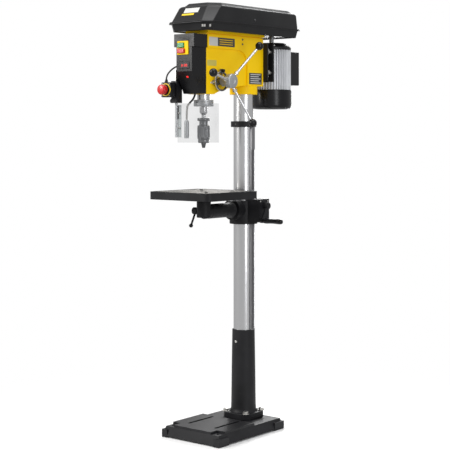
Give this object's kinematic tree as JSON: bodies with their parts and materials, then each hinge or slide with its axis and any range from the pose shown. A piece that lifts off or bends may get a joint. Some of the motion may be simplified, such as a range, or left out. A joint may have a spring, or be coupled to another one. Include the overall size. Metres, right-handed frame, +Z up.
{
  "type": "drill press",
  "caption": "Floor-standing drill press: base, column with rack, tilting table, quill head, feed levers, belt cover and rear motor.",
  "frame": {"origin": "column axis on the floor", "axes": "+Z up the column, -Y towards the operator, +X to the operator's right"},
  "size_m": [0.3653, 0.7335, 1.6803],
  "materials": {
    "black_iron": "textured black paint on cast iron",
    "black_sheet": "semi-gloss black powder coat",
    "yellow_paint": "semi-gloss yellow enamel",
    "column_steel": "ground bright steel",
    "table_iron": "ground top, painted sides",
    "dark_steel": "blackened steel",
    "cast_aluminium": "satin cast aluminium",
    "black_plastic": "moulded black plastic",
    "black_rubber": "matt rubber",
    "red_plastic": "gloss red plastic",
    "green_plastic": "gloss green plastic",
    "clear_sheet": "clear polycarbonate sheet"
  },
  "bodies": {
    "root": {"base": "black_iron", "pedestal": "black_iron", "column": "column_steel", "rack_collar": "black_iron", "head_casting": "yellow_paint", "front_cover": "black_plastic", "switch_housing": "yellow_paint", "speed_display": "black_plastic", "return_spring_cap": "black_iron", "guard_bracket": "black_iron", "estop_box": "black_plastic", "estop_cable": "black_rubber", "lamp_neck": "black_rubber", "lamp_head": "black_plastic", "belt_pan": "black_sheet", "front_belt": "black_rubber", "rear_belt": "black_rubber", "motor_slide": "black_iron"},
    "rack_body": {"column_rack": "column_steel"},
    "bracket_body": {"table_bracket": "black_iron", "tilt_bolt": "dark_steel"},
    "crank_body": {"lift_crank": "black_iron"},
    "crank_grip_body": {"crank_grip": "black_plastic"},
    "lift_pinion_body": {"lift_pinion": "dark_steel"},
    "column_lock_body": {"column_lock_lever": "dark_steel"},
    "table_arm_body": {"table_arm": "black_iron"},
    "table_clamp_body": {"table_clamp_lever": "dark_steel"},
    "table_body": {"table": "table_iron"},
    "quill_body": {"quill": "column_steel", "quill_collar": "cast_aluminium"},
    "spindle_body": {"spindle": "column_steel", "chuck_body": "dark_steel"},
    "chuck_sleeve_body": {"chuck_sleeve": "dark_steel"},
    "jaw_1_body": {"chuck_jaw_1": "dark_steel"},
    "jaw_2_body": {"chuck_jaw_2": "dark_steel"},
    "jaw_3_body": {"chuck_jaw_3": "dark_steel"},
    "feed_body": {"feed_hub": "cast_aluminium", "feed_lever_1": "column_steel", "feed_lever_2": "column_steel", "feed_lever_3": "column_steel", "feed_knob_1": "black_plastic", "feed_knob_2": "black_plastic", "feed_knob_3": "black_plastic"},
    "depth_ring_body": {"depth_ring": "cast_aluminium"},
    "depth_lock_body": {"depth_lock_knob": "black_plastic"},
    "spindle_pulley_body": {"spindle_pulley": "cast_aluminium"},
    "idler_body": {"idler_pulley": "cast_aluminium"},
    "motor_body_group": {"motor_plate": "black_iron", "motor_body": "cast_aluminium", "motor_fan_cover": "black_plastic", "terminal_box": "black_plastic"},
    "motor_rotor_body": {"motor_pulley": "cast_aluminium"},
    "guard_body": {"guard_carrier": "black_iron", "guard_shield": "clear_sheet"},
    "guard_screw_body": {"guard_thumb_screw": "dark_steel"},
    "estop_button_body": {"estop_button": "red_plastic"},
    "start_button_body": {"start_button": "green_plastic"},
    "stop_button_body": {"stop_button": "red_plastic"},
    "lid_body": {"belt_cover_lid": "black_sheet"}
  },
  "joints": [
    {"name": "table_swing", "type": "hinge", "parent": "root", "child": "rack_body", "pos_m": [0, 0, 0.9], "axis": [0, 0, 1], "continuous": true},
    {"name": "table_lift", "type": "slide", "parent": "rack_body", "child": "bracket_body", "axis": [0, 0, 1], "range_m": [-0.4, 0.15]},
    {"name": "crank_turn", "type": "hinge", "parent": "bracket_body", "child": "crank_body", "pos_m": [0.115, 0, 0.892], "axis": [1, 0, 0], "range_deg": [-18400, 6900]},
    {"name": "crank_grip_spin", "type": "hinge", "parent": "crank_body", "child": "crank_grip_body", "pos_m": [0.16, -0.027, 0.83397], "axis": [1, 0, 0], "continuous": true},
    {"name": "lift_pinion_turn", "type": "hinge", "parent": "bracket_body", "child": "lift_pinion_body", "pos_m": [0.0621, 0, 0.862], "axis": [0, 1, 0], "range_deg": [-760, 2010]},
    {"name": "column_lock_turn", "type": "hinge", "parent": "bracket_body", "child": "column_lock_body", "pos_m": [-0.07, 0, 0.8635], "axis": [1, 0, 0], "range_deg": [-40, 40]},
    {"name": "table_tilt", "type": "hinge", "parent": "bracket_body", "child": "table_arm_body", "pos_m": [0, -0.07, 0.876], "axis": [0, 1, 0], "range_deg": [-45, 45]},
    {"name": "table_clamp_turn", "type": "hinge", "parent": "table_arm_body", "child": "table_clamp_body", "pos_m": [-0.04, -0.248, 0.878], "axis": [1, 0, 0], "range_deg": [-40, 40]},
    {"name": "table_turn", "type": "hinge", "parent": "table_arm_body", "child": "table_body", "pos_m": [0, -0.248, 0.9], "axis": [0, 0, 1], "continuous": true},
    {"name": "quill_feed", "type": "slide", "parent": "root", "child": "quill_body", "axis": [0, 0, -1], "range_m": [0, 0.08], "stiffness_N_per_m": 600, "springref_m": -0.15},
    {"name": "spindle_turn", "type": "hinge", "parent": "quill_body", "child": "spindle_body", "pos_m": [0, -0.249, 1.3], "axis": [0, 0, 1], "continuous": true},
    {"name": "chuck_turn", "type": "hinge", "parent": "spindle_body", "child": "chuck_sleeve_body", "pos_m": [0, -0.249, 1.18], "axis": [0, 0, 1], "range_deg": [0, 800]},
    {"name": "jaw_1_slide", "type": "slide", "parent": "spindle_body", "child": "jaw_1_body", "axis": [0, -0.2419, 0.9703], "range_m": [0, 0.0143]},
    {"name": "jaw_2_slide", "type": "slide", "parent": "spindle_body", "child": "jaw_2_body", "axis": [0.2095, 0.121, 0.9703], "range_m": [0, 0.0143]},
    {"name": "jaw_3_slide", "type": "slide", "parent": "spindle_body", "child": "jaw_3_body", "axis": [-0.2095, 0.121, 0.9703], "range_m": [0, 0.0143]},
    {"name": "feed_turn", "type": "hinge", "parent": "root", "child": "feed_body", "pos_m": [0.08, -0.213, 1.38], "axis": [1, 0, 0], "range_deg": [-5, 372]},
    {"name": "depth_ring_turn", "type": "hinge", "parent": "root", "child": "depth_ring_body", "pos_m": [0.06, -0.213, 1.38], "axis": [1, 0, 0], "range_deg": [-20, 200]},
    {"name": "depth_lock_turn", "type": "hinge", "parent": "depth_ring_body", "child": "depth_lock_body", "pos_m": [0.068, -0.213, 1.4205], "axis": [1, 0, 0], "range_deg": [-180, 180]},
    {"name": "spindle_pulley_turn", "type": "hinge", "parent": "root", "child": "spindle_pulley_body", "pos_m": [0, -0.249, 1.63], "axis": [0, 0, 1], "continuous": true},
    {"name": "idler_turn", "type": "hinge", "parent": "root", "child": "idler_body", "pos_m": [0, -0.04, 1.63], "axis": [0, 0, 1], "continuous": true},
    {"name": "motor_slide_in", "type": "slide", "parent": "root", "child": "motor_body_group", "axis": [0, -1, 0], "range_m": [0, 0.012], "deforming": ["rear_belt"]},
    {"name": "motor_turn", "type": "hinge", "parent": "motor_body_group", "child": "motor_rotor_body", "pos_m": [0, 0.187, 1.6], "axis": [0, 0, 1], "continuous": true},
    {"name": "guard_swing", "type": "hinge", "parent": "root", "child": "guard_body", "pos_m": [-0.069, -0.33, 1.22], "axis": [0, 0, 1], "range_deg": [-110, 0]},
    {"name": "guard_screw_turn", "type": "hinge", "parent": "root", "child": "guard_screw_body", "pos_m": [-0.08, -0.34, 1.304], "axis": [1, 0, 0], "range_deg": [-180, 180]},
    {"name": "estop_push", "type": "slide", "parent": "root", "child": "estop_button_body", "axis": [0, 1, 0], "range_m": [0, 0.006], "stiffness_N_per_m": 900, "springref_m": -0.002},
    {"name": "start_push", "type": "slide", "parent": "root", "child": "start_button_body", "axis": [0, 1, 0], "range_m": [0, 0.003], "stiffness_N_per_m": 500, "springref_m": -0.002},
    {"name": "stop_push", "type": "slide", "parent": "root", "child": "stop_button_body", "axis": [0, 1, 0], "range_m": [0, 0.003], "stiffness_N_per_m": 500, "springref_m": -0.002},
    {"name": "lid_open", "type": "hinge", "parent": "root", "child": "lid_body", "pos_m": [-0.1112, -0.06, 1.6021], "axis": [0, 1, 0], "range_deg": [-95, 0]}
  ],
  "couplings": [
    {"joint": "crank_turn", "follows": "table_lift", "rad_per_m": 800},
    {"joint": "lift_pinion_turn", "follows": "table_lift", "rad_per_m": -84},
    {"joint": "feed_turn", "follows": "quill_feed", "rad_per_m": 80},
    {"joint": "spindle_pulley_turn", "follows": "spindle_turn", "ratio": 1},
    {"joint": "idler_turn", "follows": "spindle_turn", "ratio": 1.5207},
    {"joint": "motor_turn", "follows": "spindle_turn", "ratio": 3.8823},
    {"joint": "jaw_1_slide", "follows": "chuck_turn", "m_per_rad": 0.001},
    {"joint": "jaw_2_slide", "follows": "chuck_turn", "m_per_rad": 0.001},
    {"joint": "jaw_3_slide", "follows": "chuck_turn", "m_per_rad": 0.001}
  ]
}
